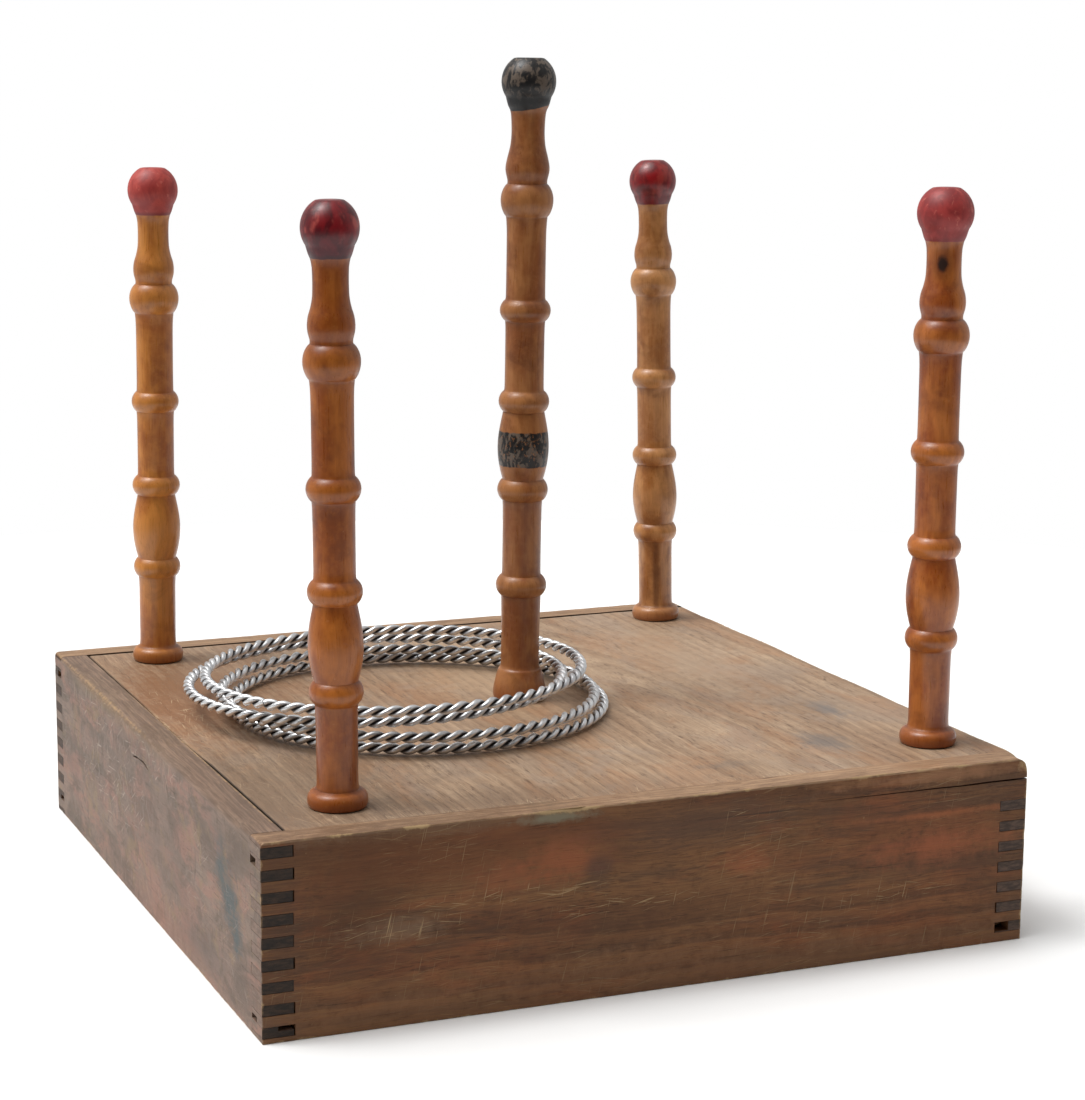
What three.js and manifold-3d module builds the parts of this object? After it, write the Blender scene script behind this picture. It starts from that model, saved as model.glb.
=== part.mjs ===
// Ring toss set: a finger-jointed wooden box with a sliding lid, five turned pegs
// that plug into the lid, and four rings of twisted wire stacked round the middle peg.
// Millimetres. +Z up, X to the right along the front wall, -Y towards the player.
// The origin is the centre of the box's footprint on the floor.
import * as THREE from "three";
import { mergeVertices } from "three/addons/utils/BufferGeometryUtils.js";
import Module from "manifold-3d";

const wasm = await Module();
wasm.setup();

// ---- driving dimensions -------------------------------------------------------------

const BOX_SIDE = 355.6;
const BOX_HEIGHT = 84;
const WALL = 13.5;
const GAP = 0.3;
const GLUE_LINE = 0.15;

// Corner fingers: the last finger of the left and right walls tops out at this height
// above the floor, and the others climb from it by the pitch.
const FINGER_PITCH = 9.35;
const FINGER_HEIGHT = FINGER_PITCH / 2;
const LEFT_LAST_FINGER_TOP = 7.0;
const RIGHT_LAST_FINGER_TOP = 9.2;
const LAST_FINGER = 8;
const RIGHT_FIRST_FINGER = 2;

const GROOVE_DEPTH = 6.7;
const BOTTOM_GROOVE = [4.9, 9.4];
const LID_GROOVE = [69.3, 75.8];

const RIGHT_WALL_TOP = RIGHT_LAST_FINGER_TOP + FINGER_PITCH * (LAST_FINGER - RIGHT_FIRST_FINGER);
const LID_UNDERSIDE = RIGHT_WALL_TOP + GAP;

const PEG_SPACING = 281.7;
const PEG_CENTRE = [8.9, 1.9];
const TENON_RADIUS = 6.35;
const TENON_LENGTH = BOX_HEIGHT - LID_UNDERSIDE;
const PEG_SEGMENTS = 18;

const RING_RADIUS = 88.4;
const WIRE_RADIUS = 2.65;
const RING_SEGMENTS = 60;
const WIRE_SEGMENTS = 8;

// ---- materials ----------------------------------------------------------------------

const wood = (color, roughness) => new THREE.MeshStandardMaterial({ color, roughness, metalness: 0 });
const boxWood = wood(0x6b4632, 0.75);
const lidWood = wood(0x8f6f55, 0.7);
const bottomWood = wood(0x9a7a58, 0.8);
const pegWood = wood(0xb5652b, 0.35);
const wireSteel = new THREE.MeshStandardMaterial({ color: 0xb4b3b0, roughness: 0.28, metalness: 1 });

// ---- helpers ------------------------------------------------------------------------

const toManifold = (geometry) => {
  const bare = geometry.clone();
  bare.deleteAttribute("normal");
  bare.deleteAttribute("uv");
  const merged = mergeVertices(bare, 1e-4);
  return new wasm.Manifold(
    new wasm.Mesh({
      numProp: 3,
      vertProperties: merged.attributes.position.array,
      triVerts: new Uint32Array(merged.index.array),
    }),
  );
};

const fromManifold = (solid) => {
  const mesh = solid.getMesh();
  const geometry = new THREE.BufferGeometry();
  geometry.setAttribute("position", new THREE.BufferAttribute(new Float32Array(mesh.vertProperties), 3));
  geometry.setIndex(new THREE.BufferAttribute(new Uint32Array(mesh.triVerts), 1));
  const flat = geometry.toNonIndexed();
  flat.computeVertexNormals();
  return flat;
};

const box = ([x0, x1], [y0, y1], [z0, z1]) => {
  const geometry = new THREE.BoxGeometry(x1 - x0, y1 - y0, z1 - z0);
  return geometry.translate((x0 + x1) / 2, (y0 + y1) / 2, (z0 + z1) / 2);
};

const carve = (stock, cutters) =>
  fromManifold(cutters.reduce((solid, cutter) => solid.subtract(toManifold(cutter)), toManifold(stock)));

const set = new THREE.Group();
set.name = "ring_toss_set";

const addPiece = (name, geometry, material) => {
  const mesh = new THREE.Mesh(geometry, material);
  mesh.name = name;
  set.add(mesh);
  return mesh;
};

// ---- box walls ----------------------------------------------------------------------

const HALF = BOX_SIDE / 2;
const INNER = HALF - WALL;
const OVER = 2;

// Heights taken by finger k of a side wall, counted from the top.
const fingerSpan = (k, lastTop) => {
  const top = lastTop + FINGER_PITCH * (LAST_FINGER - k);
  return [top - FINGER_HEIGHT, top];
};

// Heights between the fingers of a side wall, from first to last, down to the floor.
// Above the first finger of a full-height wall comes a thin finger of the other wall.
const gapSpans = (first, lastTop) => {
  const spans = first === 0 ? [[fingerSpan(0, lastTop)[1], BOX_HEIGHT + OVER]] : [];
  for (let k = first; k < LAST_FINGER; k++) {
    spans.push([fingerSpan(k + 1, lastTop)[1], fingerSpan(k, lastTop)[0]]);
  }
  spans.push([-OVER, fingerSpan(LAST_FINGER, lastTop)[0]]);
  return spans;
};

const widen = ([z0, z1]) => [z0 - GLUE_LINE / 2, z1 + GLUE_LINE / 2];

// Front and back walls: notched where the side walls' fingers pass, grooved inside
// for the bottom board and for the lid's tongue. `side` is -1 at the front, 1 at the back.
const longWall = (side) => {
  const outer = side * HALF;
  const inner = side * INNER;
  const through = [-HALF - OVER, HALF + OVER];
  const acrossWall = [Math.min(outer, inner) - OVER, Math.max(outer, inner) + OVER];
  const grooveDepth = [inner - side * OVER, inner + side * GROOVE_DEPTH].sort((a, b) => a - b);
  const cutters = [box(through, grooveDepth, BOTTOM_GROOVE), box(through, grooveDepth, LID_GROOVE)];
  for (let k = 0; k <= LAST_FINGER; k++) {
    const leftSpan = widen(fingerSpan(k, LEFT_LAST_FINGER_TOP));
    cutters.push(box([-HALF - OVER, -INNER + GLUE_LINE], acrossWall, leftSpan));
  }
  for (let k = RIGHT_FIRST_FINGER; k <= LAST_FINGER; k++) {
    const rightSpan = widen(fingerSpan(k, RIGHT_LAST_FINGER_TOP));
    cutters.push(box([INNER - GLUE_LINE, HALF + OVER], acrossWall, rightSpan));
  }
  const stock = box([-HALF, HALF], [Math.min(outer, inner), Math.max(outer, inner)], [0, BOX_HEIGHT]);
  return carve(stock, cutters);
};

// Left and right walls: the other half of each corner, and the bottom board's groove,
// which runs out through the ends. The right wall stops under the lid.
const sideWall = (side, top, first, lastTop) => {
  const outer = side * HALF;
  const inner = side * INNER;
  const acrossWall = [Math.min(outer, inner) - OVER, Math.max(outer, inner) + OVER];
  const grooveDepth = [inner - side * OVER, inner + side * GROOVE_DEPTH].sort((a, b) => a - b);
  const cutters = [box(grooveDepth, [-HALF - OVER, HALF + OVER], BOTTOM_GROOVE)];
  for (const span of gapSpans(first, lastTop)) {
    cutters.push(box(acrossWall, [-HALF - OVER, -INNER + GLUE_LINE], widen(span)));
    cutters.push(box(acrossWall, [INNER - GLUE_LINE, HALF + OVER], widen(span)));
  }
  const stock = box([Math.min(outer, inner), Math.max(outer, inner)], [-HALF, HALF], [0, top]);
  return carve(stock, cutters);
};

addPiece("front_wall", longWall(-1), boxWood);
addPiece("back_wall", longWall(1), boxWood);
addPiece("left_wall", sideWall(-1, BOX_HEIGHT, 0, LEFT_LAST_FINGER_TOP), boxWood);
addPiece("right_wall", sideWall(1, RIGHT_WALL_TOP, RIGHT_FIRST_FINGER, RIGHT_LAST_FINGER_TOP), boxWood);

const boardReach = INNER + GROOVE_DEPTH - GAP;
const boardHeights = [BOTTOM_GROOVE[0] + GAP, BOTTOM_GROOVE[1] - GAP];
addPiece("bottom_board", box([-boardReach, boardReach], [-boardReach, boardReach], boardHeights), bottomWood);

// ---- peg positions ------------------------------------------------------------------

// Each peg stands square in its socket apart from a slight lean: `lean` is how far its
// top is off the plumb line through its foot, in X and Y.
const CORNER_PEG_HEIGHT = 248.9;
const CENTRE_PEG_HEIGHT = 303.3;
const half = PEG_SPACING / 2;
const pegs = [
  { name: "peg_front_left", at: [-half, -half], lean: [-1.95, 0.77], centre: false },
  { name: "peg_front_right", at: [half, -half], lean: [-0.74, 0.29], centre: false },
  { name: "peg_back_left", at: [-half, half], lean: [1.4, -0.55], centre: false },
  { name: "peg_back_right", at: [half, half], lean: [-5.49, 2.16], centre: false },
  { name: "peg_centre", at: [0, 0], lean: [2.14, -0.84], centre: true },
];

// Stands a piece whose own axis is Z, with its foot at the origin, on the lid.
const standOnLid = (geometry, { at, lean, centre }) => {
  const height = centre ? CENTRE_PEG_HEIGHT : CORNER_PEG_HEIGHT;
  const axis = new THREE.Vector3(lean[0], lean[1], height).normalize();
  const turn = new THREE.Quaternion().setFromUnitVectors(new THREE.Vector3(0, 0, 1), axis);
  geometry.applyQuaternion(turn);
  return geometry.translate(PEG_CENTRE[0] + at[0], PEG_CENTRE[1] + at[1], BOX_HEIGHT + GAP);
};

// ---- lid ----------------------------------------------------------------------------

const lidX = [-INNER + GAP, HALF];
const lidBoard = box(lidX, [-INNER + GAP, INNER - GAP], [LID_UNDERSIDE, BOX_HEIGHT]);
const tongueReach = INNER + GROOVE_DEPTH - GAP;
const tongue = box(lidX, [-tongueReach, tongueReach], [LID_GROOVE[0] + GAP, LID_GROOVE[1] - GAP]);
const sockets = pegs.map((peg) => {
  const bore = new THREE.CylinderGeometry(TENON_RADIUS + GAP, TENON_RADIUS + GAP, 60, PEG_SEGMENTS);
  return standOnLid(bore.rotateX(Math.PI / 2), peg);
});
const lidStock = toManifold(lidBoard).add(toManifold(tongue));
const lidSolid = sockets.reduce((solid, bore) => solid.subtract(toManifold(bore)), lidStock);
addPiece("lid", fromManifold(lidSolid), lidWood);

// ---- turned pegs --------------------------------------------------------------------

// Half-round bead between two heights, swelling from the neck radius to the full radius.
const bead = (z0, z1, neck, full, points = 3) => {
  const out = [[neck, z0]];
  for (let i = 1; i <= points; i++) {
    const angle = (Math.PI * i) / (points + 1);
    out.push([neck + (full - neck) * Math.sin(angle), (z0 + z1) / 2 - ((z1 - z0) / 2) * Math.cos(angle)]);
  }
  out.push([neck, z1]);
  return out;
};

// Long belly that is fullest at the height `zFull`.
const barrel = (z0, zFull, z1, ends, full) => [
  [ends, z0],
  [ends + (full - ends) * 0.71, z0 + (zFull - z0) * 0.5],
  [full, zFull],
  [ends + (full - ends) * 0.71, zFull + (z1 - zFull) * 0.5],
  [ends, z1],
];

// Rounded foot that tucks in a little where it meets the lid.
const foot = (height, top, full, base) => [
  [base, 0],
  [full, height * 0.4],
  [full - 0.5, height * 0.68],
  [top, height],
];

// Ogee from the last notch up to the slim neck, from height z.
const ogee = (z) => [
  [9.1, z],
  [10.1, z + 5.5],
  [9.7, z + 9],
  [8.2, z + 14],
  [7.6, z + 20],
  [7.9, z + 29],
];

// Ball cut off flat at the top.
const ball = (zNeck, neck, radius, zTop, flat) => {
  const centre = zTop - Math.sqrt(radius * radius - flat * flat);
  const start = Math.asin((zNeck - centre) / radius);
  const end = Math.asin((zTop - centre) / radius);
  const out = [[neck, zNeck]];
  const steps = 6;
  for (let i = 1; i <= steps; i++) {
    const angle = start + ((end - start) * i) / steps;
    out.push([radius * Math.cos(angle), centre + radius * Math.sin(angle)]);
  }
  return out;
};

const SHAFT = 9.05;
const cornerProfile = [
  ...foot(7, 9.4, 12.7, 12),
  ...bead(45, 54.5, 9.4, 11.8),
  ...barrel(56, 67.5, 86, 9.6, 11.95),
  ...bead(87, 95.5, 9.4, 12),
  [SHAFT, 97],
  ...bead(128.5, 138, 9.3, 11.8),
  [SHAFT, 139.5],
  ...bead(178, 191.5, 9.5, 12.3),
  ...ogee(193),
  ...ball(226, 8.2, 12.5, CORNER_PEG_HEIGHT, 5.5),
];
const centreProfile = [
  ...foot(15, 10.3, 12.7, 12.1),
  [SHAFT + 0.3, 15.5],
  ...bead(51, 60.5, 9.4, 12.2),
  [SHAFT + 0.2, 61.5],
  ...bead(97, 106.5, 9.4, 12.1),
  ...barrel(107.5, 122, 138.5, 9.8, 12.1),
  ...bead(139.5, 149, 9.4, 12),
  [SHAFT + 0.2, 150],
  ...bead(182.5, 192, 9.4, 11.9),
  [SHAFT + 0.2, 193],
  ...bead(231, 245.5, 9.5, 12.3),
  ...ogee(247),
  ...ball(281, 8.4, 12.65, CENTRE_PEG_HEIGHT, 6.5),
];

const turnedPeg = (profile) => {
  const tenon = [
    [0, -TENON_LENGTH],
    [TENON_RADIUS, -TENON_LENGTH],
    [TENON_RADIUS, 0],
  ];
  const top = profile[profile.length - 1][1];
  const outline = [...tenon, ...profile, [0, top]].map(([r, z]) => new THREE.Vector2(r, z));
  return new THREE.LatheGeometry(outline, PEG_SEGMENTS).rotateX(Math.PI / 2);
};

for (const peg of pegs) {
  addPiece(peg.name, standOnLid(turnedPeg(peg.centre ? centreProfile : cornerProfile), peg), pegWood);
}

// ---- rings --------------------------------------------------------------------------

// From the bottom of the stack up. `at` is the ring's centre, its height counted from
// the lid, and `slope` is how its plane rises per millimetre along X and Y.
const rings = [
  { name: "ring_1", at: [-42.6, 4.9, WIRE_RADIUS + GAP], slope: [0, 0] },
  { name: "ring_2", at: [-48.3, 2.7, 8.65], slope: [-0.0069, -0.0045] },
  { name: "ring_3", at: [-61.3, 11.0, 14.15], slope: [0.0204, -0.0217] },
  { name: "ring_4", at: [-56.0, 1.0, 20.6], slope: [0.0161, -0.0246] },
];

const ringGeometry = () => {
  const outline = [];
  for (let i = 0; i <= WIRE_SEGMENTS; i++) {
    const angle = (2 * Math.PI * (i % WIRE_SEGMENTS)) / WIRE_SEGMENTS;
    const r = RING_RADIUS + WIRE_RADIUS * Math.cos(angle);
    outline.push(new THREE.Vector2(r, WIRE_RADIUS * Math.sin(angle)));
  }
  return new THREE.LatheGeometry(outline, RING_SEGMENTS).rotateX(Math.PI / 2);
};

for (const { name, at, slope } of rings) {
  const normal = new THREE.Vector3(-slope[0], -slope[1], 1).normalize();
  const tilt = new THREE.Quaternion().setFromUnitVectors(new THREE.Vector3(0, 0, 1), normal);
  const geometry = ringGeometry().applyQuaternion(tilt).translate(at[0], at[1], BOX_HEIGHT + at[2]);
  addPiece(name, geometry, wireSteel);
}

export default set;
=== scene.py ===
"""Ring toss set: the looks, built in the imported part's frame.

A finger-jointed wooden box with a sliding lid, five turned pegs in the lid, and four
rings of twisted wire round the middle peg. Lengths are in millimetres until a mesh is
made; Blender's own units are metres.
"""

import math

import bpy
import numpy as np
from mathutils import Matrix, Vector, noise


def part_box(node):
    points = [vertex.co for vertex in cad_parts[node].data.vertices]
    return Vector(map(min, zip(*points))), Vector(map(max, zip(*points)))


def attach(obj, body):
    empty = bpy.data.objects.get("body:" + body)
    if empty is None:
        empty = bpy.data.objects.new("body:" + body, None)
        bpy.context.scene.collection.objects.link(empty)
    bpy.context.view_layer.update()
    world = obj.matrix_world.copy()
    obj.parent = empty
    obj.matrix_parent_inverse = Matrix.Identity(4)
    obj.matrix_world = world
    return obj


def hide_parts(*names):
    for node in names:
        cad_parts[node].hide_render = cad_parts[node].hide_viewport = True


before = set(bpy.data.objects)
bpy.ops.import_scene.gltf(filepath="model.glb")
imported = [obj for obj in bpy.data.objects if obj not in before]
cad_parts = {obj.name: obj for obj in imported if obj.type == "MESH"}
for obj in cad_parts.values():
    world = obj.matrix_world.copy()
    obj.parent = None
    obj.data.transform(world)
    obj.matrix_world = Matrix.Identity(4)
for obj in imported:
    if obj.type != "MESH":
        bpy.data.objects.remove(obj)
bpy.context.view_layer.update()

MM = 0.001


# ---- camera and light -----------------------------------------------------------------

CAMERA_TARGET, CAMERA_DISTANCE = Vector((0.1338, 0.4059, 0.080)), 1.6813
AZIMUTH, ELEVATION, ROLL = (math.radians(a) for a in (-21.518, 10.769, 0.178))
LIGHT_FROM = Vector((-0.46, 0.13, 0.95)).normalized()
DIM_SIDE = Vector((-0.25, -0.86, -0.44)).normalized()


def show(thing):
    """Puts an object in the scene and hands it back."""
    bpy.context.scene.collection.objects.link(thing)
    return thing


def add_camera():
    """The viewing angle: in front, to the left and a little above the lid."""
    back = Vector((math.sin(AZIMUTH) * math.cos(ELEVATION),
                   -math.cos(AZIMUTH) * math.cos(ELEVATION),
                   math.sin(ELEVATION)))
    level = Vector((math.cos(AZIMUTH), math.sin(AZIMUTH), 0))
    rise = back.cross(level)
    right = level * math.cos(ROLL) + rise * math.sin(ROLL)
    up = rise * math.cos(ROLL) - level * math.sin(ROLL)
    data = bpy.data.cameras.new("camera")
    data.sensor_width = 36
    data.lens = 86.0
    data.shift_x = 0.0811
    data.shift_y = -0.007
    data.clip_start, data.clip_end = 0.05, 50
    camera = show(bpy.data.objects.new("camera", data))
    turn = Matrix((right, up, back)).transposed().to_4x4()
    camera.matrix_world = Matrix.Translation(CAMERA_TARGET + back * CAMERA_DISTANCE) @ turn
    bpy.context.scene.camera = camera


def add_lamp(name, strength, spread_degrees):
    """A lamp far off above and to the left; the wider it spreads, the softer it is."""
    data = bpy.data.lights.new(name, "SUN")
    data.energy = strength
    data.angle = math.radians(spread_degrees)
    lamp = show(bpy.data.objects.new(name, data))
    lamp.location = LIGHT_FROM * 2
    lamp.rotation_euler = (-LIGHT_FROM).to_track_quat("-Z", "Y").to_euler()


# ---- node trees -----------------------------------------------------------------------

class Nodes:
    """A node tree under construction."""

    def __init__(self, owner):
        owner.use_nodes = True
        self.tree = owner.node_tree
        self.tree.nodes.clear()

    def feed(self, socket, value):
        if isinstance(value, bpy.types.NodeSocket):
            self.tree.links.new(value, socket)
        else:
            socket.default_value = value

    def put(self, kind, inputs, output=0, **settings):
        """Adds a node, feeds its inputs by name or number and hands back one of its outputs."""
        made = self.tree.nodes.new("ShaderNode" + kind)
        for key, value in settings.items():
            setattr(made, key, value)
        for key, value in inputs.items():
            if value is not None:
                self.feed(made.inputs[key], value)
        return made.outputs[output] if len(made.outputs) else None


def add_world():
    """A light tent: white all round, dim low down in front, plain white to look at."""
    world = bpy.data.worlds.new("tent")
    n = Nodes(world)
    toward = n.put("VectorMath", {0: n.put("TexCoord", {}, "Generated"), 1: DIM_SIDE}, "Value",
                   operation="DOT_PRODUCT")
    level = n.put("MapRange", {"Value": toward, "From Min": -0.15, "From Max": 0.7,
                               "To Min": 0.54, "To Max": 0.06}, interpolation_type="SMOOTHSTEP")
    to_camera = n.put("LightPath", {}, "Is Camera Ray")
    seen = n.put("Mix", {"Factor": to_camera, "A": level, "B": 1.0}, data_type="FLOAT")
    n.put("OutputWorld", {"Surface": n.put("Background", {"Color": (1, 1, 1, 1), "Strength": seen})})
    bpy.context.scene.world = world


def linear(channel):
    channel /= 255
    return channel / 12.92 if channel <= 0.04045 else ((channel + 0.055) / 1.055) ** 2.4


def tone(red, green, blue, gain=1.0):
    """A colour as it looks, and how much brighter the surface itself is than it looks in its light."""
    return (*(min(1.0, linear(c) * gain) for c in (red, green, blue)), 1.0)


def tones(gain, *colours):
    return tuple(tone(*colour, gain) for colour in colours)


class Finish(Nodes):
    """One procedural material. Its methods hand back output sockets; `tint` builds up its colour."""

    def __init__(self, name, colour=None):
        self.material = bpy.data.materials.new(name)
        super().__init__(self.material)
        self.shader = self.tree.nodes.new("ShaderNodeBsdfPrincipled")
        self.put("OutputMaterial", {"Surface": self.shader.outputs[0]})
        self.colour = colour

    def set(self, **values):
        """Sets the shader's own sockets; an underscore in a name stands for a space."""
        for key, value in values.items():
            self.feed(self.shader.inputs[key.replace("_", " ")], value)

    def place(self):
        """Where a point is in its piece, in millimetres."""
        return self.vector("SCALE", self.put("TexCoord", {}, "Object"), scale=1 / MM)

    def vector(self, operation, a, b=None, scale=None):
        output = "Value" if operation in ("LENGTH", "DOT_PRODUCT") else "Vector"
        return self.put("VectorMath", {0: a, 1: b, "Scale": scale}, output, operation=operation)

    def part(self, vector, axis):
        return self.put("SeparateXYZ", {0: vector}, axis)

    def math(self, operation, a, b=None, c=None):
        return self.put("Math", {0: a, 1: b, 2: c}, operation=operation)

    def times(self, a, b):
        return self.math("MULTIPLY", a, b)

    def plus(self, a, *others):
        for other in others:
            a = self.math("ADD", a, other)
        return a

    def most(self, a, b):
        """The larger of two values; `a` may be None."""
        return b if a is None else self.math("MAXIMUM", a, b)

    def stretch(self, vector, scale, offset=(0, 0, 0), turn=(0, 0, 0)):
        return self.put("Mapping", {"Vector": vector, "Scale": scale, "Location": offset, "Rotation": turn})

    def cloud(self, vector, scale=1.0, detail=3, rough=0.55, distortion=0.0, colour=False):
        return self.put("TexNoise", {"Vector": vector, "Scale": scale, "Detail": detail, "Roughness": rough,
                                     "Distortion": distortion}, 1 if colour else 0)

    def bend(self, place, scale, reach):
        """Shifts a place by slow noise, so that what is laid out on it wanders."""
        wander = self.vector("SUBTRACT", self.cloud(place, scale, 2, colour=True), (0.5, 0.5, 0.5))
        return self.vector("ADD", place, self.vector("SCALE", wander, scale=reach))

    def rise(self, value, low, high):
        """0 below `low`, 1 above `high`, smooth between; runs downwards where low is above high."""
        up = low < high
        return self.put("MapRange", {"Value": value, "From Min": min(low, high), "From Max": max(low, high),
                                     "To Min": 0 if up else 1, "To Max": 1 if up else 0},
                        interpolation_type="SMOOTHSTEP")

    def span(self, value, low, high):
        """Maps 0..1 to low..high."""
        return self.put("MapRange", {"Value": value, "To Min": low, "To Max": high})

    def mix(self, factor, a, b):
        return self.put("Mix", {0: factor, 6: a, 7: b}, 2, data_type="RGBA")

    def lay(self, factor, shade):
        """Lays a shade over the colour so far."""
        self.colour = self.mix(factor, self.colour, shade)

    def tint(self, value, low, high, strength, shade):
        """Lays a shade over the colour so far where `value` has risen from low to high."""
        self.lay(self.times(self.rise(value, low, high), strength), shade)

    def attribute(self, name):
        return self.put("Attribute", {}, "Fac", attribute_name=name)

    def spot(self, place, centre, size):
        """Distance from a centre in ellipsoid radii: 0 at the centre, 1 on the ellipsoid."""
        away = self.vector("SUBTRACT", place, centre)
        return self.vector("LENGTH", self.vector("MULTIPLY", away, tuple(1 / s for s in size)))

    def bump(self, height, strength, distance):
        self.set(Normal=self.put("Bump", {"Strength": strength, "Distance": distance * MM, "Height": height}))


# ---- wood of the box ------------------------------------------------------------------

def board_finish(name, grain, across, eyes, wood, spacing=4.6, seed=0.0, figure=0.5, redness=0.5,
                 dirt=0.35, scratches=0.35, slants=(0.08, 0.3, -0.45, 1.2), scratch=None, roughness=0.6,
                 lines=0.5, mottling=0.15, dashes=0.0, top=None, ends=None, drifts=(), stains=(), scuffs=()):
    """Old stained board. `grain` and `across` are axes; `eyes` are where the figure closes
    into ovals, as (along, across, narrowness); `wood` holds its dark, mid, light, red and
    worn tones; `top` is an upper face's two tones and the depth they start at; `ends` are the
    end grain's two tones and how much of them shows at the low and high end; `drifts` are
    ragged patches as (scale along, scale across, threshold, tone, strength); `stains` and
    `scuffs` sit where they are on the real box."""
    dark, mid, light, red, worn = wood
    f = Finish(name)
    raw = f.place()
    shift = (seed, seed * 0.7, seed * 1.3)
    place = f.vector("ADD", raw, shift)
    bent = f.bend(place, 0.016, 7)

    def streaks(where, along, over, detail, rough=0.55, distortion=0.0, offset=(0, 0, 0)):
        scale = tuple(along if i == grain else over for i in range(3))
        return f.cloud(f.stretch(where, scale, offset), 1, detail, rough, distortion)

    # growth rings: distance from the nearest eye, long along the grain
    distance = None
    for spot_along, spot_across, narrowness in eyes:
        centre, scale = list(shift), [0.4, 0.4, 0.4]
        centre[grain] += spot_along
        centre[across] += spot_across
        scale[grain], scale[across] = narrowness, 1
        away = f.vector("MULTIPLY", f.vector("SUBTRACT", bent, tuple(centre)), tuple(scale))
        length = f.vector("LENGTH", away)
        distance = length if distance is None else f.math("SMOOTH_MIN", distance, length, 8.0)
    uneven = f.times(streaks(place, 0.006, 0.06, 3), 7)
    ring = f.math("FRACT", f.math("DIVIDE", f.plus(distance, uneven), spacing))
    late = f.times(f.rise(ring, 0.25, 0.92), f.rise(ring, 1.0, 0.93))

    fibre = streaks(bent, 0.02, 0.9, 6, 0.7)
    hair = streaks(bent, 0.045, 2.6, 3, 0.6)
    pores = f.times(f.rise(hair, 0.56, 0.66), f.rise(fibre, 0.42, 0.58))
    broad = streaks(place, 0.005, 0.035, 4, 0.6, 0.3)
    blotch = streaks(place, 0.013, 0.032, 5, 0.62, 0.5)
    mottle = f.cloud(place, 0.2, 4, 0.65)

    f.colour = f.mix(f.rise(broad, 0.28, 0.72), mid, light)
    f.tint(blotch, 0.42, 0.78, redness, red)
    f.lay(f.times(f.times(late, f.span(fibre, 0.3, 1.1)), figure), dark)
    f.tint(fibre, 0.56, 0.36, lines, dark)
    f.tint(fibre, 0.54, 0.76, lines * 0.9, light)
    f.tint(mottle, 0.5, 0.74, mottling, dark)
    f.tint(mottle, 0.46, 0.26, mottling, light)
    for number, (along, over, threshold, shade, strength) in enumerate(drifts):
        ragged = streaks(place, along, over, 6, 0.68, 0.6, (number * 31.0, number * 17.0, number * 53.0))
        f.tint(ragged, threshold - 0.05, threshold + 0.07, strength, shade)
    if top is not None:
        first, second, depth = top
        upper = f.mix(f.rise(fibre, 0.36, 0.66), first, second)
        upper = f.mix(f.times(late, 0.25), upper, first)
        f.tint(f.part(raw, 2), BOX_HEIGHT - depth, BOX_HEIGHT - 0.4 * depth, 0.92, upper)
    f.lay(f.times(pores, 0.6), dark)
    f.lay(f.times(pores, 0.3), tone(34, 24, 19))
    if dashes:
        rows = f.times(f.rise(late, 0.1, 0.7), 0.6)
        rows = f.plus(rows, f.rise(streaks(place, 0.01, 0.12, 3), 0.4, 0.65))
        dash = f.rise(streaks(bent, 0.13, 1.15, 2, 0.5), 0.55, 0.66)
        f.lay(f.times(f.times(dash, rows), dashes), dark)
    f.tint(f.cloud(place, 0.028, 5, 0.6, 0.5), 0.42, 0.8, dirt, dark)
    fuzz = f.times(f.plus(fibre, blotch, mottle), 1.2)
    for centre, size, shade, strength in stains:
        f.tint(f.plus(f.spot(raw, centre, size), fuzz), 2.85, 1.85, strength, shade)

    # knocks and scratches: short pale lines at several slants, in patches
    patches = f.rise(f.cloud(place, 0.03, 2), 0.42, 0.66)
    for centre, size in scuffs:
        patches = f.most(patches, f.times(f.rise(f.spot(raw, centre, size), 1.3, 0.6), 2.2))
    marks = None
    for slant in slants:
        turn = [0, 0, 0]
        turn[3 - grain - across] = slant
        turned = f.stretch(place, (1, 1, 1), turn=turn)
        thin = streaks(turned, 0.06, 1.7, 2, 0.5, offset=(slant * 90,) * 3)
        marks = f.most(marks, f.rise(thin, 0.66, 0.74))
    marks = f.math("MINIMUM", f.times(f.times(marks, patches), scratches), 0.9)
    nicks = f.times(f.rise(f.cloud(place, 0.5, 2, 0.6), 0.72, 0.78), scratches)
    f.lay(f.most(marks, f.times(nicks, 0.7)), scratch or worn)

    # rubbed edges, in broken flecks, and painted shade in the seams
    rubbed = f.times(f.attribute("wear"), f.span(f.cloud(place, 0.32, 5, 0.75), -0.5, 2.2))
    rubbed = f.rise(rubbed, 0.3, 0.8)
    f.lay(f.times(rubbed, 0.75), worn)
    # painted shade: the seams darkened to a near-black brown
    seam_shade = f.times(f.attribute("seam_shade"), f.span(f.cloud(place, 0.2, 3), 0.7, 1.3))
    f.tint(seam_shade, 0.1, 0.8, 0.9, tone(30, 22, 18))

    if ends is not None:
        end_tones, share_low, share_high = ends
        reach = f.part(raw, grain)
        low_end = f.times(f.rise(reach, 0.5 - HALF, 0.25 - HALF), share_low)
        high_end = f.times(f.rise(reach, HALF - 0.5, HALF - 0.25), share_high)
        rows = f.cloud(f.stretch(place, tuple(0.75 if i == across else 0.2 for i in range(3))), 1, 4, 0.66)
        tips = f.mix(f.rise(rows, 0.36, 0.7), *end_tones)
        tips = f.mix(f.times(rubbed, 0.3), tips, worn)
        f.lay(f.most(low_end, high_end), tips)

    f.set(Base_Color=f.colour, Specular_IOR_Level=0.28)
    f.set(Roughness=f.plus(f.times(fibre, 0.22), f.times(mottle, 0.1), roughness - 0.16))
    relief = f.plus(f.times(fibre, 0.5), f.times(pores, -0.5), f.times(late, 0.25))
    dents = f.plus(f.times(marks, -0.7), f.times(nicks, -0.6))
    f.bump(f.plus(relief, dents, f.times(mottle, 0.3)), 0.5, 0.32)
    return f.material


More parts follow.
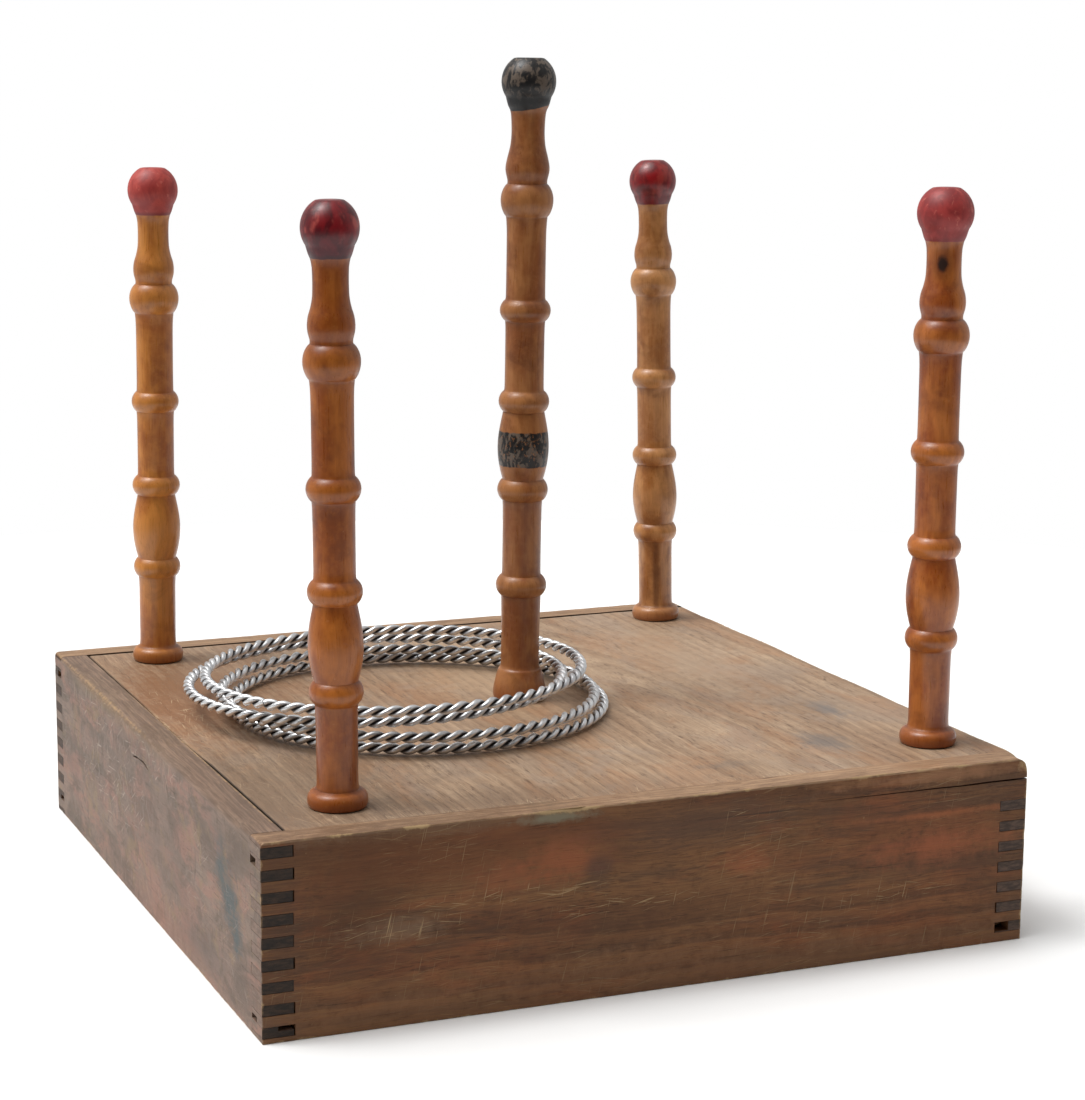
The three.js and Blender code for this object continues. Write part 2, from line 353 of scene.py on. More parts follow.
# ---- boards as fine grids -------------------------------------------------------------

EDGE_STEPS = (0.35, 0.8, 1.4, 2.2, 3.4, 5.0)
# The grids' widest spacings along X, Y and Z.
LONG_WALL_GRID, SIDE_WALL_GRID = (2.1, 2.6, 2.3), (2.6, 2.1, 2.3)
LID_GRID, BOTTOM_GRID = (3.2, 2.6, 2.6), (9, 9, 2)
# How near to a face a corner has to be to count as on it.
ON_FACE = 0.01


def grid_planes(low, high, marks, coarse):
    """Planes from low to high: through every mark, close together near the two ends."""
    fixed = sorted({low, high, *(m for m in marks if low < m < high)})
    for point in [low + s for s in EDGE_STEPS] + [high - s for s in EDGE_STEPS]:
        if low < point < high and min(abs(point - f) for f in fixed) > 0.14:
            fixed.append(point)
    fixed.sort()
    out = [fixed[0]]
    for a, b in zip(fixed, fixed[1:]):
        count = max(1, math.ceil((b - a) / coarse))
        out += [a + (b - a) * i / count for i in range(1, count + 1)]
    return np.array(out)


def carved_block(low, high, cuts, coarse):
    """Corners and faces of a block less the boxes in `cuts`, as a grid of small faces."""
    axes = []
    for axis in range(3):
        edges = [c[axis][side] for c in cuts for side in (0, 1)]
        axes.append(grid_planes(low[axis], high[axis], edges, coarse[axis]))
    middles = [(a[1:] + a[:-1]) / 2 for a in axes]
    solid = np.ones([len(m) for m in middles], bool)
    for cut in cuts:
        taken = [(m > c[0]) & (m < c[1]) for m, c in zip(middles, cut)]
        solid &= ~(taken[0][:, None, None] & taken[1][None, :, None] & taken[2][None, None, :])
    padded = np.pad(solid, 1)
    counts = [len(a) for a in axes]
    strides = (counts[1] * counts[2], counts[2], 1)
    quads = []
    for axis in range(3):
        b, c = (axis + 1) % 3, (axis + 2) % 3
        for side in (-1, 1):
            beyond = np.roll(padded, -side, axis=axis)
            at = np.argwhere(padded & ~beyond) - 1
            at[:, axis] += side > 0
            base = at @ np.array(strides)
            ring = [base, base + strides[b], base + strides[b] + strides[c], base + strides[c]]
            quads.append(np.stack(ring if side > 0 else ring[::-1], 1))
    used, quads = np.unique(np.concatenate(quads), return_inverse=True)
    i, rest = np.divmod(used, strides[0])
    j, k = np.divmod(rest, strides[1])
    return np.stack([axes[0][i], axes[1][j], axes[2][k]], 1), quads.reshape(-1, 4)


def field(points, scale, shift=0.0):
    """Smooth noise between about -1 and 1 at each point."""
    scale = np.broadcast_to(scale, 3)
    return np.array([noise.noise(Vector(p * scale) + Vector((shift, shift * 1.7, -shift))) for p in points])


def make_mesh(name, corners, faces, attributes, sharp_degrees=35):
    mesh = bpy.data.meshes.new(name)
    mesh.from_pydata((corners * MM).tolist(), [], [list(map(int, f)) for f in faces])
    for key, values in attributes.items():
        layer = mesh.attributes.new(key, "FLOAT", "POINT")
        layer.data.foreach_set("value", np.asarray(values, np.float32))
    mesh.shade_smooth()
    mesh.set_sharp_from_angle(angle=math.radians(sharp_degrees))
    mesh.update()
    return mesh


def make_piece(name, mesh, material, body, node, where=None):
    piece = bpy.data.objects.new(name, mesh)
    if where is not None:
        piece.matrix_world = where
    show(piece)
    mesh.materials.append(material)
    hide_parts(node)
    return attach(piece, body)


# ---- the box's dimensions, from the frame ---------------------------------------------

def corners_of(node):
    """Low and high corner of a node's box, in millimetres."""
    return (np.round(np.array(c) / MM, 3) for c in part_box(node))


front_low, front_high = corners_of("front_wall")
HALF = float(front_high[0])
BOX_HEIGHT = float(front_high[2])
WALL = round(float(front_high[1] - front_low[1]), 3)
INNER = HALF - WALL
RIGHT_WALL_TOP = round(float(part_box("right_wall")[1].z) / MM, 3)
LID_UNDERSIDE = round(float(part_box("lid")[0].z) / MM, 3)
TONGUE_REACH = round(float(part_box("lid")[1].y) / MM, 3)
BOARD_LOW, BOARD_HIGH = corners_of("bottom_board")

FINGER_PITCH = 9.35
FINGER_HEIGHT = FINGER_PITCH / 2
LAST_FINGER = 8
RIGHT_FIRST_FINGER = 2
LEFT_LAST_TOP = 7.0
RIGHT_LAST_TOP = RIGHT_WALL_TOP - FINGER_PITCH * (LAST_FINGER - RIGHT_FIRST_FINGER)
GROOVE_DEPTH = 6.7
BOTTOM_GROOVE = (4.9, 9.4)
LID_GROOVE = (69.3, 75.8)
CLEAR = 0.3
OVER = 2.0
GLUE_LINE = 0.09

rng = np.random.default_rng(7)
CORNERS = ("fl", "fr", "bl", "br")
# How far each notch runs past the wall it takes, and how far each finger end sits back.
notch_slack = {key: rng.uniform(0.05, 0.75, LAST_FINGER + 1) for key in CORNERS}
finger_recess = {key: rng.uniform(0.0, 0.28, LAST_FINGER + 1) for key in CORNERS}

CRACK_HEIGHT, CRACK_START, CRACK_OPENING = 74.7, 72.0, 0.42
SPLIT_SPAN = (-7.5, 20.5)
SPLIT_HEIGHT, SPLIT_OPENING, SPLIT_DEPTH = 69.6, 0.7, 2


def finger_span(k, last_top):
    top = last_top + FINGER_PITCH * (LAST_FINGER - k)
    return top - FINGER_HEIGHT, top


def gap_spans(first, last_top):
    spans = [(finger_span(k + 1, last_top)[1], finger_span(k, last_top)[0])
             for k in range(first, LAST_FINGER)]
    if first == 0:
        spans.append((finger_span(0, last_top)[1], BOX_HEIGHT + OVER))
    return spans + [(-OVER, finger_span(LAST_FINGER, last_top)[0])]


def widen(span):
    return span[0] - GLUE_LINE, span[1] + GLUE_LINE


def around(middle, half):
    return middle - half, middle + half


def ordered(a, b):
    return (a, b) if a < b else (b, a)


# ---- wear -----------------------------------------------------------------------------

def edge_radius(points, base, ragged, shift, chips=()):
    """Rounding radius along an edge: a base with ragged noise and a few chipped places."""
    slow = field(points, 0.025, shift)
    fast = field(points, 0.22, shift + 5)
    radius = base * (1 + 0.5 * slow) + ragged * np.maximum(0, fast - 0.05) * 2.2
    for axis, at, width, depth in chips:
        radius = radius + depth * np.exp(-(((points[:, axis] - at) / width) ** 4))
    return np.maximum(radius, 0.12)


LEFT, RIGHT, FRONT, BACK, UNDER, TOP = (0, -1), (0, 1), (1, -1), (1, 1), (2, -1), (2, 1)
FACE_LIMIT = {LEFT: -HALF, RIGHT: HALF, FRONT: -HALF, BACK: HALF, UNDER: 0.0, TOP: BOX_HEIGHT}
FRONT_CHIPS = ((0, -46, 10, 1.5), (0, -112, 5, 0.6), (0, -146, 3, 0.7), (0, 22, 6, 0.4), (0, 96, 9, 0.5))
LEFT_CHIPS = ((1, 118, 26, 1.2), (1, 60, 22, 1.8), (1, 20, 14, 1.2), (1, -165, 14, -2.2))
# The box's twelve outer edges: two faces, radius, raggedness and chips (axis, place, width, depth).
BOX_EDGES = (
    (FRONT, TOP, 0.55, 0.55, FRONT_CHIPS),
    (LEFT, TOP, 3.0, 0.5, LEFT_CHIPS),
    (BACK, TOP, 0.8, 0.5, ()),
    (RIGHT, TOP, 3.2, 0.4, ((1, -178, 10, 4.2),)),
    (FRONT, UNDER, 0.6, 0.4, ()),
    (LEFT, UNDER, 0.8, 0.5, ()),
    (BACK, UNDER, 0.7, 0.4, ()),
    (RIGHT, UNDER, 0.8, 0.4, ()),
    (LEFT, FRONT, 0.65, 0.35, ()),
    (RIGHT, FRONT, 0.9, 0.5, ((2, 82, 3, 1.4),)),
    (LEFT, BACK, 0.8, 0.4, ()),
    (RIGHT, BACK, 0.8, 0.4, ()),
)
EDGE_REACH = 9
WEAR_REACH = 1.2


def soften(points):
    """Rounds whatever lies on the box's outer edges. Returns the moved points and their wear."""
    points = points.copy()
    wear = np.zeros(len(points))
    for number, (face_a, face_b, base, ragged, chips) in enumerate(BOX_EDGES):
        (axis_a, side_a), (axis_b, side_b) = face_a, face_b
        from_a = np.abs(FACE_LIMIT[face_a] - points[:, axis_a])
        from_b = np.abs(FACE_LIMIT[face_b] - points[:, axis_b])
        near = np.flatnonzero((from_a < EDGE_REACH) & (from_b < EDGE_REACH))
        if not len(near):
            continue
        radius = edge_radius(points[near], base, ragged, 3.0 * number, chips)
        u, v = radius - from_a[near], radius - from_b[near]
        reach = np.hypot(u, v)
        cut = (u > 0) & (v > 0) & (reach > radius)
        pull = np.where(cut, radius / np.maximum(reach, 1e-6), 1.0)
        points[near, axis_a] = FACE_LIMIT[face_a] - side_a * (radius - u * pull)
        points[near, axis_b] = FACE_LIMIT[face_b] - side_b * (radius - v * pull)
        closeness = 1 - np.maximum(from_a[near], from_b[near]) / (radius + WEAR_REACH)
        closeness = np.clip(closeness, 0, 1) * np.clip(radius / 1.1, 0.35, 1.2)
        # the left wall's top edge is rubbed less, least of all in front
        if (face_a, face_b) == (LEFT, TOP):
            closeness = closeness * np.clip((points[near, 1] + 40) / 90, 0.1, 0.55)
        wear[near] = np.maximum(wear[near], closeness)
    return points, wear


def undulate(points, shift, amount=0.18):
    """Planed faces are not quite flat: every outer face dips a little here and there."""
    points = points.copy()
    dip = amount * (0.5 + 0.5 * field(points, (0.012, 0.012, 0.03), shift))
    for (axis, side), limit in FACE_LIMIT.items():
        on_face = np.abs(points[:, axis] - limit) < ON_FACE
        points[on_face, axis] -= side * dip[on_face]
    return points


def flake(points, wear, centre, size, depth, shift):
    """A shallow flake split off the front face, deepest towards its right end."""
    u = (points[:, 0] - centre[0]) / size[0]
    v = (points[:, 2] - centre[1]) / size[1]
    edge = 1 - np.maximum(np.abs(u), np.abs(v)) + 0.25 * field(points, 0.35, shift)
    on_face = np.abs(points[:, 1] + HALF) < 1.2
    share = np.clip(edge * 4, 0, 1) * (0.55 + 0.45 * np.clip(u, -1, 1)) * on_face
    points[:, 1] += depth * share
    return points, np.maximum(wear, 0.25 * (share > 0.05))


# ---- walls ----------------------------------------------------------------------------

THROUGH = (-HALF - OVER, HALF + OVER)
# How far the gaps between a side wall's fingers run past the long walls' inner faces.
GAP_OVERRUN = 0.25


def wall_spans(side):
    """A wall's outer and inner face, and what a cut right through it and a groove in it span."""
    outer, inner = side * HALF, side * INNER
    across = ordered(outer + side * OVER, inner - side * OVER)
    return outer, inner, across, ordered(inner - side * OVER, inner + side * GROOVE_DEPTH)


def long_wall(side):
    """Front (-1) or back (1) wall, notched at its ends and grooved inside."""
    outer, inner, across, groove = wall_spans(side)
    cuts = [(THROUGH, groove, BOTTOM_GROOVE), (THROUGH, groove, LID_GROOVE)]
    left_key, right_key = ("fl", "fr") if side < 0 else ("bl", "br")
    for k in range(LAST_FINGER + 1):
        end = -INNER + notch_slack[left_key][k]
        cuts.append(((THROUGH[0], end), across, widen(finger_span(k, LEFT_LAST_TOP))))
    for k in range(RIGHT_FIRST_FINGER, LAST_FINGER + 1):
        end = INNER - notch_slack[right_key][k]
        cuts.append(((end, THROUGH[1]), across, widen(finger_span(k, RIGHT_LAST_TOP))))
    if side < 0:
        slit = ordered(outer - OVER, outer + GROOVE_DEPTH + 1)
        cuts.append(((CRACK_START, THROUGH[1]), slit, around(CRACK_HEIGHT, CRACK_OPENING)))
    low = (-HALF, min(outer, inner), 0)
    high = (HALF, max(outer, inner), BOX_HEIGHT)
    points, faces = carved_block(low, high, cuts, LONG_WALL_GRID)
    if side < 0:
        taper_crack(points)
    points, wear = soften(undulate(points, 10 + side))
    if side < 0:
        points, wear = flake(points, wear, (-50, 81.6), (15.5, 3.8), 1.1, 4)
        points, wear = flake(points, wear, (-118, 83.2), (9, 1.6), 0.5, 9)
    return points, faces, wear


def reshape_slit(points, where, middle, half, opening, shift):
    """Moves both lips of a level slit, cut `half` to each side of `middle`, to another opening."""
    lips = np.abs(np.abs(points[:, 2] - middle) - half) < 0.02
    target = middle + np.sign(points[:, 2] - middle) * opening + shift
    points[:, 2] = np.where(lips & where, target, points[:, 2])


def taper_crack(points):
    """Closes the crack towards its left end and lets it waver."""
    share = np.clip((points[:, 0] - CRACK_START) / (HALF - CRACK_START), 0, 1)
    waver = 0.35 * field(np.stack([points[:, 0], 0 * share, 0 * share], 1), 0.06, 2) * np.sin(share * math.pi)
    opening = 0.03 + (CRACK_OPENING - 0.03) * share ** 0.8
    reshape_slit(points, points[:, 0] > CRACK_START - ON_FACE, CRACK_HEIGHT, CRACK_OPENING, opening, waver)


def bend_split(points):
    """The short split high on the left wall: pointed at both ends and bent in the middle."""
    reach = (points[:, 1] - SPLIT_SPAN[0]) / (SPLIT_SPAN[1] - SPLIT_SPAN[0])
    inside = (reach > -0.001) & (reach < 1.001) & (points[:, 0] < -HALF + SPLIT_DEPTH + 0.1)
    share = np.clip(reach, 0, 1)
    bend = np.interp(share, (0, 0.3, 0.42, 0.75, 1), (-0.6, 0.9, 0.7, 0.2, -0.9))
    opening = SPLIT_OPENING * np.interp(share, (0, 0.12, 0.4, 0.55, 0.8, 1), (0.05, 1, 0.7, 0.25, 0.8, 0.05))
    reshape_slit(points, inside, SPLIT_HEIGHT, SPLIT_OPENING, opening, bend)


def side_wall(side, top, first, last_top):
    """Left (-1) or right (1) wall: the other half of the corners."""
    outer, inner, across, groove = wall_spans(side)
    cuts = [(groove, THROUGH, BOTTOM_GROOVE)]
    for span in gap_spans(first, last_top):
        cuts.append((across, (THROUGH[0], GAP_OVERRUN - INNER), widen(span)))
        cuts.append((across, (INNER - GAP_OVERRUN, THROUGH[1]), widen(span)))
    if side < 0:
        cuts.append(((THROUGH[0], -HALF + SPLIT_DEPTH), SPLIT_SPAN, around(SPLIT_HEIGHT, SPLIT_OPENING)))
    low = (min(outer, inner), -HALF, 0)
    high = (max(outer, inner), HALF, top)
    points, faces = carved_block(low, high, cuts, SIDE_WALL_GRID)
    if side < 0:
        bend_split(points)
    for end in (-1, 1):
        key = ("f" if end < 0 else "b") + ("l" if side < 0 else "r")
        tip = np.abs(points[:, 1] - end * HALF) < ON_FACE
        for k in range(first, LAST_FINGER + 1):
            span = finger_span(k, last_top)
            inside = tip & (points[:, 2] > span[0] - 0.2) & (points[:, 2] < span[1] + 0.2)
            points[inside, 1] -= end * finger_recess[key][k]
    points, wear = soften(undulate(points, 14 + side))
    return points, faces, wear


FRONT_LIGHT, LEFT_LIGHT, LID_LIGHT = 1.36, 0.81, 1.17
FRONT_WOOD = tones(FRONT_LIGHT, (54, 32, 17), (91, 58, 33), (113, 78, 47), (121, 63, 32), (150, 126, 90))
LEFT_WOOD = tones(LEFT_LIGHT, (90, 74, 63), (131, 109, 94), (153, 129, 113), (150, 106, 90), (196, 160, 118))
INSIDE_WOOD = tones(1.0, (96, 72, 52), (134, 103, 76), (158, 126, 95), (140, 96, 64), (176, 150, 120))
LID_WOOD = tones(LID_LIGHT, (92, 69, 52), (146, 119, 94), (174, 149, 123), (150, 110, 76), (198, 173, 140))
STRIP_TOP = (*tones(1.0, (140, 110, 84), (186, 152, 120)), 1.3)
LEFT_TOP = (*tones(1.0, (104, 84, 70), (150, 124, 104)), 5.0)
END_GRAIN = tones(FRONT_LIGHT, (26, 18, 12), (51, 36, 25))
RIGHT_END_GRAIN = tones(FRONT_LIGHT, (50, 38, 31), (80, 62, 52))
DUSTY_END_GRAIN = tones(LEFT_LIGHT, (118, 98, 86), (148, 125, 111))
RUST, SOOT = tones(FRONT_LIGHT, (120, 66, 37), (62, 44, 32))
MAUVE, SLATE, OLIVE, CHALK = tones(LEFT_LIGHT, (166, 120, 102), (98, 82, 68), (150, 124, 88), (184, 166, 152))
RUST_BROWN, ASH = tones(LID_LIGHT, (152, 106, 70), (142, 126, 112))

# Marks on each face: middle and half size in the face's own plane, then a colour and strength: mostly stains,
# and at the front wall's foot a band of painted light.
FRONT_STAINS_AND_PAINTED_LIGHT = (
    # painted light: a paler band along the whole foot of the front wall, fading out upwards
    ((0, 0), (500, 24), (118, 84, 58), 0.45),
    ((-140, 50), (34, 40), (60, 35, 15), 0.55),
    ((-90, 72), (110, 20), (87, 48, 20), 0.55),
    ((-118, 41), (32, 7), (132, 108, 86), 0.3),
    ((-168, 40), (15, 60), (64, 43, 30), 0.5),
    ((-50, 81), (22, 3.4), (104, 98, 80), 0.9),
    ((132, 80.5), (70, 4.4), (132, 92, 64), 0.6),
    ((44, 72.6), (34, 0.5), (36, 24, 16), 0.75),
    ((-45, 62), (22, 10), (136, 74, 43), 0.5),
    ((-74, 58), (16, 9), (130, 72, 42), 0.42),
    ((40, 52), (16, 9), (130, 72, 42), 0.5),
)
FRONT_CORNER_STAIN = ((-150, 8 - HALF, BOX_HEIGHT), (40, 14, 4), tone(112, 86, 66), 0.6)
FRONT_LATER_STAINS = (
    ((130, 49), (52, 12), (132, 72, 42), 0.75),
    ((130, 63), (60, 2.4), (140, 80, 46), 0.6),
    ((-31, 57), (8, 9), (56, 44, 37), 0.6),
    ((20, 70), (60, 14), (72, 52, 40), 0.45),
    ((-100, 83), (60, 5), (104, 84, 64), 0.35),
)
FRONT_SCUFFS = (((-118, 42), (30, 8)), ((-70, 50), (44, 4)), ((-20, 40), (40, 4)), ((36, 73), (8, 3)),
                ((110, 30), (30, 4)))
LEFT_STAINS = (
    ((-122, 58), (12, 16), (76, 86, 86), 0.8),
    ((-134, 46), (15, 19), (76, 86, 86), 0.9),
    ((-144, 34), (12, 14), (76, 86, 86), 0.9),
    ((-20, 34), (60, 22), (128, 104, 90), 0.5),
    ((-40, 6), (120, 16), (158, 112, 92), 0.5),
    ((-150, 74), (40, 12), (104, 84, 68), 0.5),
    ((60, 80), (130, 6), (150, 124, 88), 0.4),
    ((-100, 12), (50, 12), (112, 98, 90), 0.5),
)
LEFT_SCUFFS = (((40, 74), (110, 10)), ((60, 45), (70, 20)))
LID_STAINS = (
    ((137, -70), (9, 22), (110, 106, 104), 0.75),
    ((106, -120), (15, 20), (112, 104, 98), 0.7),
    ((44, -140), (22, 10), (116, 102, 90), 0.6),
    ((-150, 40), (36, 90), (150, 96, 58), 0.6),
    ((-150, -110), (90, 110), (108, 88, 70), 0.65),
    ((-130, 70), (60, 110), (128, 92, 64), 0.8),
)
LID_BRIGHT_STAINS = (
    ((20, 60), (70, 110), (172, 146, 118), 0.5),
    ((120, 60), (40, 150), (164, 142, 120), 0.5),
)
LID_FRONT_STAINS = (((-60, -156), (180, 18), (128, 104, 84), 0.4),)
LID_SCUFFS = (((-152, 20), (10, 60)), ((-20, -162), (120, 5)))


def in_space(axis, at, reach, marks):
    """Marks given in a face's plane, as middles and half sizes in space."""
    for middle, size in marks:
        yield (*middle[:axis], at, *middle[axis:]), (*size[:axis], reach, *size[axis:])


def stains_on(axis, at, reach, light, marks):
    placed = in_space(axis, at, reach, [mark[:2] for mark in marks])
    return [(*where, tone(*mark[2], light), mark[3]) for where, mark in zip(placed, marks)]


def wall_seam_shade(node, points):
    """Painted shade along the seams beside the lid."""
    level = np.clip(1 - (BOX_HEIGHT - points[:, 2]) / 5, 0, 1)
    if node == "left_wall":
        seam = np.clip(1 - np.abs(points[:, 0] + INNER) / 1.0, 0, 1)
        return seam * level * seam_openness(points[:, 1]) * 0.4
    if node == "back_wall":
        return np.clip(1 - np.abs(points[:, 1] - INNER) / 0.8, 0, 1) * level * 0.6
    return np.zeros(len(points))


def seam_wear(points):
    """Rubbed wood on the left wall's lip beside the lid."""
    lip = np.clip(1 - np.abs(points[:, 0] + INNER) / 2.2, 0, 1)
    lip = lip * np.clip(1 - (BOX_HEIGHT - points[:, 2]) / 2, 0, 1)
    return lip * np.interp(points[:, 1], (-166, -150, -60, 60, 100, 166), (0.4, 0.8, 0.85, 0.7, 0.3, 0.2))


def seam_openness(y):
    """How open the seam beside the left wall is: rubbed nearly shut along its middle."""
    return np.interp(y, (-166, -60, -48, -20, 30, 62, 166), (1, 0.95, 0.5, 0.3, 0.25, 0.55, 0.65))


def wall_finishes():
    front_drifts = ((0.012, 0.05, 0.56, RUST, 0.35), (0.01, 0.07, 0.54, SOOT, 0.45))
    left_drifts = ((0.02, 0.05, 0.52, MAUVE, 0.6), (0.025, 0.06, 0.53, SLATE, 0.6),
                   (0.12, 0.09, 0.58, SLATE, 0.55), (0.05, 0.07, 0.58, OLIVE, 0.5))
    front_stains_and_light = [*stains_on(1, -HALF, 50, FRONT_LIGHT, FRONT_STAINS_AND_PAINTED_LIGHT), FRONT_CORNER_STAIN,
                    *stains_on(1, -HALF, 50, FRONT_LIGHT, FRONT_LATER_STAINS)]
    return {
        "front_wall": board_finish(
            "front_wall_wood", 0, 2,
            [(-60, 66, 0.13), (132, 50, 0.09), (30, 122, 0.05), (-40, -70, 0.035)], FRONT_WOOD,
            figure=0.6, lines=0.46, mottling=0.3, dashes=0.4, dirt=0.25, scratches=0.3,
            slants=(0.04, 0.12, 0.26, -0.18, 1.35), top=STRIP_TOP, ends=(DUSTY_END_GRAIN, 0.85, 0.4),
            drifts=front_drifts, stains=front_stains_and_light, scuffs=in_space(1, -HALF, 30, FRONT_SCUFFS)),
        "back_wall": board_finish(
            "back_wall_wood", 0, 2, [(70, 30, 0.07), (-120, 80, 0.06)], FRONT_WOOD, seed=217.0,
            drifts=front_drifts, top=STRIP_TOP, ends=(END_GRAIN, 0.8, 0.6)),
        "left_wall": board_finish(
            "left_wall_wood", 1, 2, [(120, 20, 0.09), (-60, 66, 0.08), (20, -40, 0.06)], LEFT_WOOD,
            seed=431.0, figure=0.3, dirt=0.4, scratches=0.48, redness=0.35, roughness=0.56, lines=0.36,
            mottling=0.3, slants=(0.1, 1.3, 1.75, 2.3, 0.6), scratch=CHALK, top=LEFT_TOP,
            ends=(END_GRAIN, 1.0, 1.0), drifts=left_drifts,
            stains=stains_on(0, -HALF, 50, LEFT_LIGHT, LEFT_STAINS),
            scuffs=in_space(0, -HALF, 30, LEFT_SCUFFS)),
        "right_wall": board_finish(
            "right_wall_wood", 1, 2, [(-90, 40, 0.09), (60, 10, 0.08)], FRONT_WOOD, seed=655.0,
            drifts=front_drifts, ends=(RIGHT_END_GRAIN, 1.0, 1.0)),
    }


def build_walls():
    finishes = wall_finishes()
    shapes = {
        "front_wall": long_wall(-1),
        "back_wall": long_wall(1),
        "left_wall": side_wall(-1, BOX_HEIGHT, 0, LEFT_LAST_TOP),
        "right_wall": side_wall(1, RIGHT_WALL_TOP, RIGHT_FIRST_FINGER, RIGHT_LAST_TOP),
    }
    for node, (points, faces, wear) in shapes.items():
        if node == "left_wall":
            wear = np.maximum(wear, seam_wear(points))
        mesh = make_mesh(node + "_boards", points, faces, {"wear": wear, "seam_shade": wall_seam_shade(node, points)})
        make_piece(node + "_board", mesh, finishes[node], "box", node)


def build_bottom():
    finish = board_finish("bottom_wood", 0, 1, [(40, -60, 0.06), (-80, 90, 0.05)], INSIDE_WOOD, seed=80.0,
                          scratches=0.3, redness=0.3, roughness=0.75)
    points, faces = carved_block(tuple(BOARD_LOW), tuple(BOARD_HIGH), [], BOTTOM_GRID)
    points[:, 2] -= 0.12 * (0.5 + 0.5 * field(points, 0.01, 3)) * (points[:, 2] > BOARD_LOW[2] + 1)
    plain = np.zeros(len(points))
    mesh = make_mesh("bottom_boards", points, faces, {"wear": plain, "seam_shade": plain})
    make_piece("bottom_panel", mesh, finish, "box", "bottom_board")


# ---- pegs: where they stand -----------------------------------------------------------

def solid_points(node):
    """The corners of a node's solid, in millimetres."""
    return np.array([v.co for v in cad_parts[node].data.vertices]) / MM


def upright_turn(axis):
    """The turn that takes +Z to an axis."""
    return Vector((0, 0, 1)).rotation_difference(Vector(axis)).to_matrix().to_4x4()


class Stand:
    """A peg's foot and axis, read from its tenon and its flat top in the frame."""

    def __init__(self, node):
        points = solid_points(node)
        bottom = points[points[:, 2] < points[:, 2].min() + 0.5].mean(0)
        top = points[points[:, 2] > points[:, 2].max() - 0.5].mean(0)
        self.axis = (top - bottom) / np.linalg.norm(top - bottom)
        self.foot = bottom + self.axis * (BOX_HEIGHT + CLEAR - bottom[2]) / self.axis[2]
        self.tenon = float(np.linalg.norm(self.foot - bottom))
        self.height = float(np.linalg.norm(top - self.foot))

    def matrix(self):
        return Matrix.Translation(Vector(self.foot * MM)) @ upright_turn(self.axis)


PEGS = ("peg_front_left", "peg_front_right", "peg_back_left", "peg_back_right", "peg_centre")
stands = {name: Stand(name) for name in PEGS}
TENON_RADIUS, TENON_CHAMFER = 6.35, 0.5
SOCKET_RADIUS = TENON_RADIUS + CLEAR


# ---- lid ------------------------------------------------------------------------------

SEAM_LEFT, SEAM_FRONT, SEAM_BACK = 0.95, 0.1, 0.6


